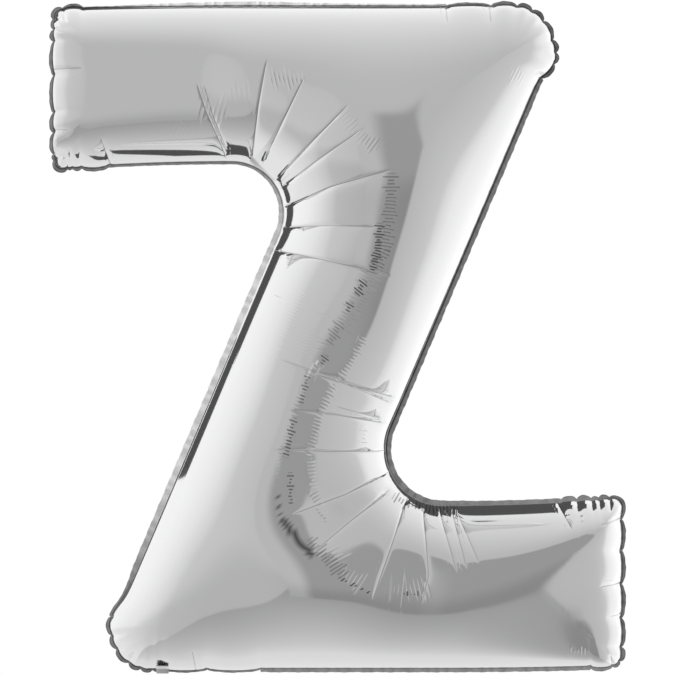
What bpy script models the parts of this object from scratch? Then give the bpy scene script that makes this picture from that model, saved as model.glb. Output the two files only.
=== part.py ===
"""Letter foil balloon: a Z of two films welded along a flat rim, with a filling valve.

Metres, +Z up. The front film faces -Y, the weld lies in the plane y = 0, and the origin is the
middle of the letter.
"""
import math

import bpy
import numpy as np

# Driving sizes of the seam line, where the inflated films meet the flat rim
SEAM_HALF_HEIGHT = 0.435
SEAM_HALF_WIDTH = 0.372
TOP_BAR_LOWER_EDGE = 0.231
BOTTOM_BAR_UPPER_EDGE = -0.220
DIAGONAL_WIDTH = 0.234
DIAGONAL_MIDDLE_X = -0.0075
DIAGONAL_SLOPE = math.radians(67.0)
UPPER_BEND_RADIUS = 0.068
LOWER_BEND_RADIUS = 0.074
CORNER_RADIUS = 0.049
TOP_CORNER_FLARE = 0.010
BOTTOM_CORNER_FLARE = 0.006
FLARE_REACH = 0.022
END_CORNER_RADIUS = 0.014
END_SWAY_OUTER = 0.004
END_SWAY_INNER = 0.009

# Film, rim and valve
FILM_WALL = 0.002
RIM_THICKNESS = 0.001
RIM_WIDTH = 0.0070
CLEARANCE = 0.0003
FILM_RIM_Y = CLEARANCE / 2
VALVE_X = -0.2300
VALVE_WIDTH = 0.016
VALVE_WALL = 0.0006
VALVE_RISE = 0.006

# Closed ends of the bars: height and reach of the steep wall behind the seam, height and reach of
# the bulge beyond it, the slope of the facet that runs on as far as CAP_LENGTH, and how much
# higher the cap stands for each metre above the middle of the bar
LEFT_END_CAP = (0.062, 0.0008, 0.0244, 0.0257, 0.08, 0.0)
RIGHT_END_CAP = (0.013, 0.0025, 0.038, 0.016, 0.38, 3.7)
CAP_SHARPNESS = 10.0
CAP_LENGTH = 0.18
CAP_RELEASE = 6.0

# Where the film stands higher or lower than the plain membrane: x, z, share of the height
SWELLS = (
    (-0.16, 0.33, -0.017),
    (-0.03, 0.33, -0.043),
    (0.10, 0.33, -0.015),
    (0.11, 0.22, 0.088),
    (0.05, 0.10, 0.033),
    (0.02, 0.00, -0.018),
    (-0.06, -0.08, 0.029),
    (-0.12, -0.20, 0.011),
    (-0.14, -0.32, -0.054),
    (-0.03, -0.33, 0.063),
    (0.08, -0.33, -0.071),
    (0.00, 0.24, 0.066),
    (-0.05, 0.12, -0.016),
    (0.00, -0.22, -0.164),
    (0.05, -0.10, -0.090),
)
SWELL_REACH = 0.075

# Rows of the film's grid on each stretch of a bar, from its free end, and cells across the letter
END_CORNER_ROWS = (0.0, 0.0012, 0.0045, 0.009)
ROWS_BAR = 9
ROWS_BEFORE_CORNER = 4
ROWS_CORNER = 5
ROWS_AFTER_CORNER = 4
ROWS_DIAGONAL = 9
CELLS_ACROSS = 12

# Where the weld is drawn into lobes: the place on the letter, the distance along the seam from
# that place to the first pinch, and the lengths of the lobes from pinch to pinch, in metres
LEFT_END_LOBES = (0.036, 0.012, 0.007, 0.021, 0.008, 0.028, 0.026, 0.049, 0.045, 0.016, 0.013, 0.018, 0.027)
TOP_CORNER_LOBES = (0.059, 0.034, 0.020, 0.020, 0.027, 0.017, 0.014, 0.025)
RIGHT_END_LOBES = (0.021, 0.019, 0.010, 0.014, 0.036, 0.041, 0.044, 0.045, 0.038, 0.018, 0.011, 0.029)
BOTTOM_CORNER_LOBES = (0.061, 0.011, 0.015, 0.017, 0.023, 0.019, 0.024)
LOBE_RUNS = (
    ("left_end", -0.079, LEFT_END_LOBES),
    ("top_corner", -0.0895, TOP_CORNER_LOBES),
    ("right_end", -0.086, RIGHT_END_LOBES),
    ("bottom_corner", -0.061, BOTTOM_CORNER_LOBES),
)
LOBE_SHARES = (0.0, 0.1, 0.3, 0.5, 0.7, 0.9)
LOBE_REACH = 0.0058
LOBE_ROUNDNESS = 0.30
PINCH_WIDTH = 0.0016
CLOSEST_STATIONS = 0.0012


def half_rows(bar_inner_z, outer_x, inner_x, flare, bend_radius):
    """Rows across one bar and its bend, from the bar's free end at -X to the diagonal.

    The bar lies at +Z. outer_x and inner_x are where the diagonal's two edges cross z = 0. Each row
    joins a point of the outer edge to a point of the inner edge, two (n, 2) arrays of x and z. In
    the bend the rows are rays from the middle of the inner bend. The bar's end sways towards the
    letter's middle, and the corner flares out by a bump where it meets the diagonal.
    """
    slope = math.tan(DIAGONAL_SLOPE)
    across = np.array([math.sin(DIAGONAL_SLOPE), -math.cos(DIAGONAL_SLOPE)])
    top = SEAM_HALF_HEIGHT
    end = -SEAM_HALF_WIDTH
    lower = top - CORNER_RADIUS
    corner = np.array([outer_x + lower / slope - CORNER_RADIUS / across[0], lower])
    bend_z = bar_inner_z - bend_radius
    bend = np.array([inner_x + bend_z / slope - bend_radius / across[0], bend_z])

    ease = np.linspace(0.0, 1.0, ROWS_BAR, endpoint=False) ** 1.4
    run = END_CORNER_RADIUS + ease * (bend[0] - end - END_CORNER_RADIUS)
    run = np.concatenate([np.array(END_CORNER_ROWS), run])
    inset = np.clip(END_CORNER_RADIUS - run, 0.0, None)
    cut = END_CORNER_RADIUS - np.sqrt(END_CORNER_RADIUS ** 2 - inset ** 2)
    bar_x = end + run
    sway = (1.0 - run / (bend[0] - end)) ** 2
    bar_outer = np.column_stack([bar_x, top - cut - END_SWAY_OUTER * sway])
    bar_inner = np.column_stack([bar_x, bar_inner_z + cut - END_SWAY_INNER * sway])

    share = np.linspace(0.0, 1.0, ROWS_BEFORE_CORNER, endpoint=False)
    straight = np.column_stack([bend[0] + share * (corner[0] - bend[0]), np.full(ROWS_BEFORE_CORNER, top)])
    angle = np.linspace(math.pi / 2, DIAGONAL_SLOPE - math.pi / 2, ROWS_CORNER + 1)[:-1]
    arc = corner + CORNER_RADIUS * np.column_stack([np.cos(angle), np.sin(angle)])
    leave = corner + CORNER_RADIUS * across
    reach = (outer_x - inner_x) * across[0] + bend_radius
    foot = bend + reach * across
    share = np.linspace(0.0, 1.0, ROWS_AFTER_CORNER + 1)[:, None]
    slant = leave + share * (foot - leave)
    round_outer = np.vstack([straight, arc, slant])
    ray = round_outer - bend
    round_inner = bend + bend_radius * ray / np.linalg.norm(ray, axis=1)[:, None]
    bump = flare * np.exp(-((round_outer - leave) ** 2).sum(axis=1) / FLARE_REACH ** 2)
    round_outer = round_outer + bump[:, None] * across
    return np.vstack([bar_outer, round_outer]), np.vstack([bar_inner, round_inner])


def letter_rows():
    """Rows of the whole letter, from the top bar's end to the bottom bar's end.

    Returns the upper-right edge and the lower-left edge, two (n, 2) arrays of x and z.
    """
    half_width = DIAGONAL_WIDTH / 2 / math.sin(DIAGONAL_SLOPE)
    right_x = DIAGONAL_MIDDLE_X + half_width
    left_x = DIAGONAL_MIDDLE_X - half_width
    right, left = half_rows(TOP_BAR_LOWER_EDGE, right_x, left_x, TOP_CORNER_FLARE, UPPER_BEND_RADIUS)
    bar_z = -BOTTOM_BAR_UPPER_EDGE
    outer, inner = half_rows(bar_z, -left_x, -right_x, BOTTOM_CORNER_FLARE, LOWER_BEND_RADIUS)
    lower_right, lower_left = -inner[::-1], -outer[::-1]
    share = np.linspace(0.0, 1.0, ROWS_DIAGONAL + 1)[1:-1, None]
    middle_right = right[-1] + share * (lower_right[0] - right[-1])
    middle_left = left[-1] + share * (lower_left[0] - left[-1])
    return np.vstack([right, middle_right, lower_right]), np.vstack([left, middle_left, lower_left])


def film_grid():
    """Points of the flat letter, an (rows, across, 2) array closer together towards the edges."""
    right, left = letter_rows()
    share = (1.0 - np.cos(np.linspace(0.0, math.pi, CELLS_ACROSS + 1))) / 2.0
    return left[:, None, :] + share[None, :, None] * (right - left)[:, None, :]


def grid_quads(rows, columns):
    """Corner numbers of each cell of a grid of points, row by row."""
    first = (np.arange(rows - 1)[:, None] * columns + np.arange(columns - 1)[None, :]).ravel()
    return np.column_stack([first, first + 1, first + columns + 1, first + columns])


def end_cap(run, above, cap):
    """Height that a closed end allows at a distance from its seam: a wall, a bulge and a facet."""
    wall, wall_reach, bulge, bulge_reach, slope, lean = cap
    near = wall * (1.0 - np.exp(-run / wall_reach)) + bulge * np.tanh(run / bulge_reach)
    beyond = np.clip(run - CAP_LENGTH, 0.0, None)
    return (near + slope * run) * np.clip(1.0 + lean * above, 0.3, 1.6) + CAP_RELEASE * beyond ** 2


def inflated_height(grid):
    """Half thickness of the inflated letter over each grid point.

    A membrane under even pressure sags by phi, where the sum of its second slopes is -1 and phi is
    0 on the long edges. The square root of 2 phi is then the half circle on any straight stretch.
    The swells raise or lower it, and each end's cap closes it: of the two heights the smaller one
    counts, with a short rounding between them.
    """
    rows, columns = grid.shape[:2]
    points = grid.reshape(-1, 2)
    quads = grid_quads(rows, columns)
    triangles = np.vstack([quads[:, [0, 1, 2]], quads[:, [0, 2, 3]]])
    count = len(points)
    stiffness = np.zeros((count, count))
    load = np.zeros(count)
    a, b, c = (points[triangles[:, i]] for i in range(3))
    area = np.abs((b[:, 0] - a[:, 0]) * (c[:, 1] - a[:, 1]) - (b[:, 1] - a[:, 1]) * (c[:, 0] - a[:, 0])) / 2.0
    edges = (c - b, a - c, b - a)
    for i in range(3):
        np.add.at(load, triangles[:, i], area / 3.0)
        for j in range(3):
            part = (edges[i] * edges[j]).sum(axis=1) / (4.0 * area)
            np.add.at(stiffness, (triangles[:, i], triangles[:, j]), part)
    inside = np.zeros((rows, columns), bool)
    inside[:, 1:-1] = True
    free = np.flatnonzero(inside.ravel())
    phi = np.zeros(count)
    phi[free] = np.linalg.solve(stiffness[np.ix_(free, free)], load[free])
    height = np.sqrt(2.0 * phi).reshape(rows, columns)
    for x, z, share in SWELLS:
        gap = (grid[..., 0] - x) ** 2 + (grid[..., 1] - z) ** 2
        height = height * (1.0 + share * np.exp(-gap / SWELL_REACH ** 2))
    middle = len(grid) // 2
    top_bar_z = (SEAM_HALF_HEIGHT + TOP_BAR_LOWER_EDGE) / 2
    bottom_bar_z = (BOTTOM_BAR_UPPER_EDGE - SEAM_HALF_HEIGHT) / 2
    upper = end_cap(SEAM_HALF_WIDTH + grid[:middle, :, 0], grid[:middle, :, 1] - top_bar_z, LEFT_END_CAP)
    lower = end_cap(SEAM_HALF_WIDTH - grid[middle:, :, 0], grid[middle:, :, 1] - bottom_bar_z, RIGHT_END_CAP)
    allowed = np.maximum(np.vstack([upper, lower]), 1e-9)
    height = height / (1.0 + (height / allowed) ** CAP_SHARPNESS) ** (1.0 / CAP_SHARPNESS)
    height[[0, -1], :] = 0.0
    return height


def border_loop(rows, columns):
    """Numbers of the grid's border points, once round."""
    first = np.arange(columns - 1)
    right = np.arange(rows - 1) * columns + columns - 1
    last = rows * columns - 1 - np.arange(columns - 1)
    left = (rows - 1 - np.arange(rows - 1)) * columns
    return np.concatenate([first, right, last, left])


def new_object(name, points, faces, colour, roughness, metallic):
    """Makes a mesh object with a material of its own."""
    mesh = bpy.data.meshes.new(name)
    mesh.from_pydata([tuple(p) for p in points], [], [tuple(int(i) for i in f) for f in faces])
    mesh.update()
    mesh.shade_smooth()
    mesh.set_sharp_from_angle(angle=math.radians(50.0))
    material = bpy.data.materials.new(name)
    material.use_nodes = True
    shader = material.node_tree.nodes["Principled BSDF"]
    shader.inputs["Base Color"].default_value = (*colour, 1.0)
    shader.inputs["Roughness"].default_value = roughness
    shader.inputs["Metallic"].default_value = metallic
    mesh.materials.append(material)
    obj = bpy.data.objects.new(name, mesh)
    bpy.context.collection.objects.link(obj)
    return obj


def add_film(name, grid, height, side):
    """One film panel: side is -1 for the front, +1 for the back."""
    rows, columns = height.shape
    outer = np.stack([grid[..., 0], side * (FILM_RIM_Y + height), grid[..., 1]], axis=-1)
    along = np.gradient(outer, axis=0)
    across = np.gradient(outer, axis=1)
    normal = np.cross(along, across)
    normal /= np.linalg.norm(normal, axis=2)[..., None]
    normal *= np.sign(normal[..., 1:2] * side)
    inner = outer - FILM_WALL * normal
    edge = np.zeros(height.shape, bool)
    edge[[0, -1], :] = True
    edge[:, [0, -1]] = True
    inner[..., 1] = np.where(edge, side * FILM_RIM_Y, inner[..., 1])
    count = rows * columns
    quads = grid_quads(rows, columns)
    loop = border_loop(rows, columns)
    after = np.roll(loop, -1)
    rim = np.column_stack([loop, after, after + count, loop + count])
    faces = np.vstack([quads, quads[:, ::-1] + count, rim[:, ::-1]])
    if side < 0:
        faces = faces[:, ::-1]
    points = np.vstack([outer.reshape(-1, 3), inner.reshape(-1, 3)])
    return new_object(name, points, faces, (0.80, 0.80, 0.81), 0.12, 1.0)


def seam_places(run, rows, columns):
    """Distances along the seam of the places that lobes start from, once round the letter."""
    side = columns - 1 + rows - 1
    to_corner = len(END_CORNER_ROWS) + ROWS_BAR + ROWS_BEFORE_CORNER
    return {
        "left_end": run[0],
        "top_corner": run[columns - 1 + to_corner],
        "right_end": run[side],
        "bottom_corner": run[side + columns - 1 + to_corner],
    }


def lobe_spans(places):
    """The first pinch and the length of every lobe."""
    spans = []
    for place, first, lengths in LOBE_RUNS:
        starts = places[place] + first + np.cumsum((0.0,) + lengths[:-1])
        spans.extend(zip(starts, lengths))
    return spans


def rim_line(grid):
    """The seam line once round: points, outward directions and the rim's width at each.

    It runs up the left end, along the top, down the right edge and back along the left edge. The
    rim is even on the long edges. A lobe rises from a pinch like the square root of a half sine.
    """
    rows, columns = grid.shape[:2]
    corners = grid.reshape(-1, 2)[border_loop(rows, columns)]
    closed = np.vstack([corners, corners[:1]])
    lengths = np.linalg.norm(np.diff(closed, axis=0), axis=1)
    run = np.concatenate([[0.0], np.cumsum(lengths)])
    spans = lobe_spans(seam_places(run, rows, columns))
    stations = np.concatenate([start + np.array(LOBE_SHARES) * length for start, length in spans]) % run[-1]
    apart = np.abs(stations[:, None] - run[None, :]).min(axis=1) > CLOSEST_STATIONS
    distance = np.sort(np.concatenate([stations[apart], run[:-1]]))
    line = np.column_stack([np.interp(distance, run, closed[:, i]) for i in range(2)])
    before = line - np.roll(line, 1, axis=0)
    after = np.roll(line, -1, axis=0) - line
    before /= np.linalg.norm(before, axis=1)[:, None]
    after /= np.linalg.norm(after, axis=1)[:, None]
    tangent = before + after
    tangent /= np.linalg.norm(tangent, axis=1)[:, None]
    outward = np.column_stack([-tangent[:, 1], tangent[:, 0]])
    width = np.full(len(distance), RIM_WIDTH)
    for start, length in spans:
        share = ((distance - start + CLOSEST_STATIONS) % run[-1] - CLOSEST_STATIONS) / length
        reach = min(LOBE_REACH, LOBE_ROUNDNESS * length)
        lobe = PINCH_WIDTH + reach * np.sqrt(np.clip(np.sin(math.pi * share), 0.0, 1.0))
        width = np.where((share > -0.01) & (share < 1.01), lobe, width)
    return line, outward, width


def add_rim(grid):
    """The flat welded rim: a ring from just outside the films' seam to the trimmed edge."""
    line, outward, width = rim_line(grid)
    width = width[:, None]
    inside = line + CLEARANCE * outward
    outside = line + width * outward
    half = RIM_THICKNESS / 2
    rings = []
    for flat, y in ((inside, -half), (outside, -half), (outside, half), (inside, half)):
        rings.append(np.column_stack([flat[:, 0], np.full(len(flat), y), flat[:, 1]]))
    count = len(line)
    this = np.arange(count)
    after = np.roll(this, -1)
    faces = []
    for ring in range(4):
        near = ring * count
        far = (ring + 1) % 4 * count
        faces.append(np.column_stack([this + near, after + near, after + far, this + far]))
    return new_object("seam_rim", np.vstack(rings), np.vstack(faces), (0.62, 0.62, 0.64), 0.30, 1.0)


def add_valve(grid, height):
    """The filling valve's outer sleeve: a film strip on the rim's front and up the front film."""
    rim_front = -RIM_THICKNESS / 2 - CLEARANCE
    seam_z = -SEAM_HALF_HEIGHT
    radius = (BOTTOM_BAR_UPPER_EDGE + SEAM_HALF_HEIGHT) / 2
    climb = np.linspace(0.0, math.acos(1.0 - VALVE_RISE / radius), 6)
    path_z = seam_z + radius * (1.0 - np.cos(climb)) - 2.5 * CLEARANCE
    path_y = -FILM_RIM_Y - radius * np.sin(climb) - 2.5 * CLEARANCE
    path_z = np.concatenate([[seam_z - RIM_WIDTH], path_z])
    path_y = np.concatenate([[rim_front], path_y])
    path_y[1] = rim_front
    tangent_z = np.gradient(path_z)
    tangent_y = np.gradient(path_y)
    length = np.hypot(tangent_z, tangent_y)
    out_z = path_z + VALVE_WALL * tangent_y / length
    out_y = path_y - VALVE_WALL * tangent_z / length
    section_z = np.concatenate([path_z, out_z[::-1]])
    section_y = np.concatenate([path_y, out_y[::-1]])
    count = len(section_z)
    points = []
    for x in (VALVE_X - VALVE_WIDTH / 2, VALVE_X + VALVE_WIDTH / 2):
        points.append(np.column_stack([np.full(count, x), section_y, section_z]))
    this = np.arange(count)
    after = np.roll(this, -1)
    sides = np.column_stack([this, after, after + count, this + count])
    strip = len(path_z)
    near = np.arange(strip - 1)
    ends = np.column_stack([near, near + 1, count - 2 - near, count - 1 - near])
    faces = np.vstack([sides, ends[:, ::-1], ends + count])
    return new_object("valve_sleeve", np.vstack(points), faces, (0.70, 0.70, 0.71), 0.25, 0.8)


def main():
    for obj in list(bpy.data.objects):
        bpy.data.objects.remove(obj, do_unlink=True)
    grid = film_grid()
    height = inflated_height(grid)
    add_film("front_film", grid, height, -1)
    add_film("back_film", grid, height, 1)
    add_rim(grid)
    add_valve(grid, height)


main()
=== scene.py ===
"""Letter foil balloon: a silver letter Z, inflated, in a pale light tent.

Metres. +Z is up, the front film faces -Y, and the weld of the two films lies in the plane y = 0.
"""
import math

import bpy
import numpy as np
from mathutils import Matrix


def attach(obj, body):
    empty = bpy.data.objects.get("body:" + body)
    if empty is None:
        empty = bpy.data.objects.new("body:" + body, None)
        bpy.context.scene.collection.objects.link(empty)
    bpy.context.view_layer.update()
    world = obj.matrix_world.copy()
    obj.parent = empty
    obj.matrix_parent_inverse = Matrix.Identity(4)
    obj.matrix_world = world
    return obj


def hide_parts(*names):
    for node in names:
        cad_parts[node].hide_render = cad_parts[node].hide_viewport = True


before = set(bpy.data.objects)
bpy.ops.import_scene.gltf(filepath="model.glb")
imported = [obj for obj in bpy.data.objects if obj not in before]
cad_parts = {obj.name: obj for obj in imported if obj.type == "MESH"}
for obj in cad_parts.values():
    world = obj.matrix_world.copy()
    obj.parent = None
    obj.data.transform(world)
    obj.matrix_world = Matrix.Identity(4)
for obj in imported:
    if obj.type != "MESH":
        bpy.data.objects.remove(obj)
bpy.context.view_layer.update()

bl_info = {
    "name": "Letter foil balloon",
    "version": (1, 0, 0),
    "blender": (4, 5, 0),
    "location": "View3D > Sidebar > Balloon",
    "description": "Inflated foil letter with its creases, welded rim, filling valve and light tent",
    "category": "Add Mesh",
}

# Seam line of the letter, where the inflated films meet the flat rim
SEAM_HALF_HEIGHT = 0.435
SEAM_HALF_WIDTH = 0.372
TOP_BAR_LOWER_EDGE = 0.231
BOTTOM_BAR_UPPER_EDGE = -0.220
DIAGONAL_WIDTH = 0.234
DIAGONAL_MIDDLE_X = -0.0075
DIAGONAL_SLOPE = math.radians(67.0)
UPPER_BEND_RADIUS = 0.068
LOWER_BEND_RADIUS = 0.074
CORNER_RADIUS = 0.049
TOP_CORNER_FLARE = 0.010
BOTTOM_CORNER_FLARE = 0.006
FLARE_REACH = 0.022
END_CORNER_RADIUS = 0.014
END_SWAY_OUTER = 0.004
END_SWAY_INNER = 0.009

# Closed ends of the bars: height and reach of the steep wall behind the seam, height and reach of
# the bulge beyond it, the slope of the facet that runs on as far as CAP_LENGTH, and how much
# higher the cap stands for each metre above the middle of the bar
LEFT_END_CAP = (0.062, 0.0008, 0.0244, 0.0257, 0.08, 0.0)
RIGHT_END_CAP = (0.013, 0.0025, 0.038, 0.016, 0.38, 3.7)
CAP_SHARPNESS = 10.0
CAP_LENGTH = 0.18
CAP_RELEASE = 6.0

# Where the film stands higher or lower than the plain membrane: x, z, share of the height
SWELLS = (
    (-0.16, 0.33, -0.017),
    (-0.03, 0.33, -0.043),
    (0.10, 0.33, -0.015),
    (0.11, 0.22, 0.088),
    (0.05, 0.10, 0.033),
    (0.02, 0.00, -0.018),
    (-0.06, -0.08, 0.029),
    (-0.12, -0.20, 0.011),
    (-0.14, -0.32, -0.054),
    (-0.03, -0.33, 0.063),
    (0.08, -0.33, -0.071),
    (0.00, 0.24, 0.066),
    (-0.05, 0.12, -0.016),
    (0.00, -0.22, -0.164),
    (0.05, -0.10, -0.090),
)
SWELL_REACH = 0.075

# Rows along the letter: the bar's end, as far as END_LENGTH, the rest of the bar, a bend, the diagonal
END_LENGTH = 0.040
ROWS_END = 44
ROWS_BAR = 88
ROWS_BEND = 318
ROWS_DIAGONAL = 170

# Creases that run out from the two bends and in from the ends: points (x, z), depth of the sharp
# groove and depth of the wide hollow around it, all in millimetres
CREASES = (
    (((-91, 365), (-103, 303), (-113, 236)), 1.1, 2.2),
    (((-42, 340), (-96, 231)), 0.9, 1.8),
    (((17, 305), (-78, 209)), 1.0, 2.2),
    (((38, 274), (-69, 200)), 0.8, 1.6),
    (((73, 218), (-9, 195), (-68, 172)), 1.1, 2.4),
    (((53, 143), (-9, 145), (-69, 144)), 0.8, 1.8),
    (((70, 80), (-44, 106), (-76, 113)), 1.0, 2.2),
    (((-184, 333), (-171, 294), (-148, 240)), 0.9, 1.4),
    (((-174, 330), (-161, 286), (-147, 249)), 0.6, 0.8),
    (((-74, -28), (4, -55)), 0.5, 1.0),
    (((-27, -49), (69, -77)), 0.9, 1.6),
    (((-3, -55), (66, -84)), 0.6, 0.9),
    (((-64, -93), (-3, -100), (56, -111)), 0.9, 1.6),
    (((-3, -89), (53, -105)), 0.6, 0.8),
    (((-85, -145), (-9, -148), (56, -148)), 1.0, 2.2),
    (((-64, -231), (10, -204), (64, -178)), 1.1, 2.2),
    (((-35, -281), (17, -238), (64, -202)), 1.1, 2.2),
    (((44, -344), (69, -274), (90, -214)), 1.1, 2.2),
    (((109, -348), (118, -309), (113, -226)), 1.0, 1.8),
    (((155, -307), (134, -228)), 0.8, 1.2),
    (((168, -303), (150, -228)), 0.7, 1.0),
    (((184, -294), (158, -231)), 0.7, 1.2),
    (((-332, 351), (-367, 350)), 0.7, 1.0),
    (((-348, 271), (-369, 271)), 0.7, 0.8),
    (((-309, 262), (-297, 223)), 0.9, 1.2),
    (((306, -251), (288, -215)), 1.0, 1.2),
    (((342, -245), (368, -238)), 0.7, 1.0),
    (((342, -326), (368, -323)), 0.8, 1.2),
    (((356, -365), (371, -363)), 0.6, 0.8),
    (((-189, -408), (-186, -431)), 0.7, 0.8),
    (((143, 411), (142, 432)), 0.6, 0.6),
    (((200, 411), (199, 432)), 0.6, 0.6),
)
LINE_WIDTH = 0.0011
LINE_REACH = 0.004
GROOVE_WIDTH = 0.0016
HOLLOW_WIDTH = 0.011
GROOVE_BOTTOM = 0.0009

# Bands of fine ripples: points (x, z) along the band's middle, half the length of a ripple and
# the pitch in millimetres, the strength, the lean of the ripples, and the layer it is kept in
RIPPLE_BANDS = (
    (((-217, 274), (-189, 274)), 14, 6.5, 0.5, 0.5, 0),
    (((-184, 294), (-142, 292)), 31, 6.5, 1.0, 0.2, 1),
    (((-142, 316), (-111, 320)), 23, 6.5, 0.6, 0.0, 0),
    (((-90, 338), (-40, 335)), 22, 5.5, 1.0, -0.3, 0),
    (((1, 294), (33, 257), (51, 244)), 16, 5.2, 0.9, 0.0, 0),
    (((69, 215), (69, 179), (66, 146), (60, 114), (48, 88)), 15, 4.5, 0.6, 0.0, 0),
    (((46, 85), (33, 62), (17, 36), (4, 10)), 22, 4.5, 0.7, 0.0, 1),
    (((-48, 62), (-48, -23)), 52, 4.7, 0.6, 0.4, 0),
    (((35, 1), (17, -34), (-4, -64), (-20, -94), (-31, -124), (-38, -152), (-31, -200), (-10, -239)),
     10, 4.7, 1.0, 0.0, 1),
    (((-22, -29), (-34, -48), (-43, -74), (-51, -88), (-59, -105), (-65, -130), (-72, -154), (-69, -186),
      (-61, -218)), 12, 4.7, 0.7, 0.0, 0),
    (((-14, -270), (4, -303), (33, -322)), 26, 5.5, 0.7, 0.0, 0),
    (((61, -326), (89, -329), (121, -322)), 34, 5.5, 0.8, 0.0, 1),
    (((298, -412), (329, -412)), 10, 4.6, 0.7, 0.0, 0),
    (((223, 342), (246, 342)), 18, 4.6, 0.7, 0.5, 0),
    (((36, -113), (35, -139)), 8, 5.2, 0.9, 0.0, 0),
    (((62, -179), (56, -212)), 16, 5.2, 0.4, 0.0, 1),
)

# Combs of painted shade in the valleys of short folds: points (x, z) along the comb's middle, half the length of a fold
# and the pitch in millimetres, the depth of the painted shade, the lean of the folds, and the layer
PAINTED_FOLD_SHADE_COMBS = (
    (((69, 215), (69, 179), (66, 146), (60, 114), (48, 88)), 14, 4.5, 0.42, 0.0, 0),
    (((55, 150), (52, 112), (44, 82)), 9, 3.6, 0.85, 0.0, 1),
    (((36, 76), (24, 53)), 9, 4.0, 0.85, 0.2, 0),
    (((18, 48), (12, 31)), 8, 4.0, 0.75, 0.2, 0),
    (((4, 22), (-12, -10)), 12, 4.2, 0.35, 0.2, 0),
    (((-14, -21), (-21, -37)), 8, 4.0, 0.7, 0.2, 0),
    (((-38, -45), (-44, -71), (-48, -89)), 6, 4.2, 0.6, 0.1, 0),
    (((-56, -102), (-64, -141), (-68, -157)), 7, 4.4, 0.7, 0.1, 0),
    (((-61, -173), (-61, -219)), 6, 4.4, 0.65, 0.0, 0),
    (((-40, -262), (-14, -285), (12, -312)), 16, 4.6, 0.4, 0.2, 1),
    (((1, -311), (44, -333)), 4, 4.6, 0.8, 0.5, 0),
    (((84, -333), (108, -333)), 4, 4.6, 0.8, 0.0, 0),
    (((72, -205), (90, -216), (122, -224), (160, -222)), 9, 4.6, 0.6, 0.0, 1),
)

# Painted shadows where a fold closes on itself: points (x, z), half width in millimetres, depth of the painted shadow
PAINTED_FOLD_SHADOWS = (
    (((-77, -205), (-76, -227), (-70, -238)), 1.2, 0.7),
    (((-70, -238), (-52, -262), (-34, -281)), 4.5, 0.85),
    (((-112, 232), (-98, 218), (-86, 206)), 3.0, 0.6),
)

# Where the weld is drawn into lobes: the place on the letter, the distance along the seam from
# that place to the first pinch, and the lengths of the lobes from pinch to pinch, in metres
LOBE_RUNS = (
    ("left_end", -0.079, (0.036, 0.012, 0.007, 0.021, 0.008, 0.028, 0.026, 0.049, 0.045, 0.016, 0.013, 0.018, 0.027)),
    ("top_corner", -0.0895, (0.059, 0.034, 0.020, 0.020, 0.027, 0.017, 0.014, 0.025)),
    ("right_end", -0.086, (0.021, 0.019, 0.010, 0.014, 0.036, 0.041, 0.044, 0.045, 0.038, 0.018, 0.011, 0.029)),
    ("bottom_corner", -0.1308, (0.0697, 0.061, 0.011, 0.015, 0.017, 0.023, 0.019, 0.024)),
)


# The welded rim once round, clockwise from the left end's lower corner: distance along the seam in
# metres, visible width in mm, backward tilt in degrees, width of the painted shade in the gutter
# beside the film in mm, and brightness of the weld, which is painted shade and painted reflection
RIM_STATIONS = (
    (0.00, 4.0, 25, 1.2, 0.34),
    (0.19, 4.0, 25, 1.2, 0.34),
    (0.215, 2.8, 30, 2.6, 0.30),
    (0.27, 3.0, 40, 2.4, 0.60),
    (0.32, 4.6, 45, 2.4, 0.95),
    (0.446, 7.4, 42, 2.6, 0.95),
    (0.56, 4.6, 45, 2.6, 0.95),
    (0.68, 3.6, 45, 2.4, 0.90),
    (0.72, 4.0, 35, 1.4, 0.50),
    (0.80, 4.0, 25, 1.2, 0.25),
    (0.90, 4.0, 20, 1.2, 0.25),
    (0.95, 6.8, 15, 2.0, 0.50),
    (1.42, 6.8, 15, 2.2, 0.50),
    (1.52, 6.4, 20, 0.0, 0.42),
    (1.62, 4.8, 25, 0.0, 0.42),
    (1.76, 4.6, 25, 0.0, 0.45),
    (1.79, 4.0, 25, 1.0, 0.30),
    (1.99, 4.0, 25, 1.0, 0.30),
    (2.03, 5.4, 24, 0.8, 0.62),
    (2.46, 5.4, 22, 0.8, 0.60),
    (2.52, 4.6, 25, 0.8, 0.50),
    (2.62, 4.0, 25, 1.2, 0.36),
    (2.76, 4.0, 25, 1.2, 0.34),
    (2.80, 6.4, 28, 0.0, 0.45),
    (2.92, 6.8, 28, 0.0, 0.90),
    (3.22, 6.8, 28, 0.0, 0.95),
    (3.30, 6.0, 25, 1.0, 0.75),
    (3.38, 3.4, 20, 0.8, 0.55),
    (3.55, 3.2, 20, 0.8, 0.55),
    (3.642, 4.0, 25, 1.2, 0.34),
)


class BalloonFilmSettings(bpy.types.PropertyGroup):
    """Sizes and finish of the two inflated films."""

    cells_across: bpy.props.IntProperty(
        name="Cells across", description="Mesh cells from one edge of the letter to the other", default=92, min=24)
    crease_depth: bpy.props.FloatProperty(
        name="Crease depth", description="Factor on the depth of every crease", default=1.0)
    line_depth: bpy.props.FloatProperty(
        name="Fold line depth", description="Depth of the sharp line in a crease of strength 1", default=0.0008,
        unit="LENGTH", precision=5)
    # Painted shade: how far the inside of each fold line is darkened
    line_painted_shade: bpy.props.FloatProperty(
        name="Fold line tone", description="How dark the inside of a fold line is", default=0.62, subtype="FACTOR")
    ripple_height: bpy.props.FloatProperty(
        name="Ripple height", description="Height of the fine ripples at strength 1", default=0.00034,
        unit="LENGTH", precision=5)
    colour: bpy.props.FloatVectorProperty(
        name="Film colour", description="Colour of the metallised film", default=(0.90, 0.90, 0.905),
        subtype="COLOR", size=3)
    roughness: bpy.props.FloatProperty(
        name="Film roughness", description="Blur of the film's mirror", default=0.07, subtype="FACTOR")


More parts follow.
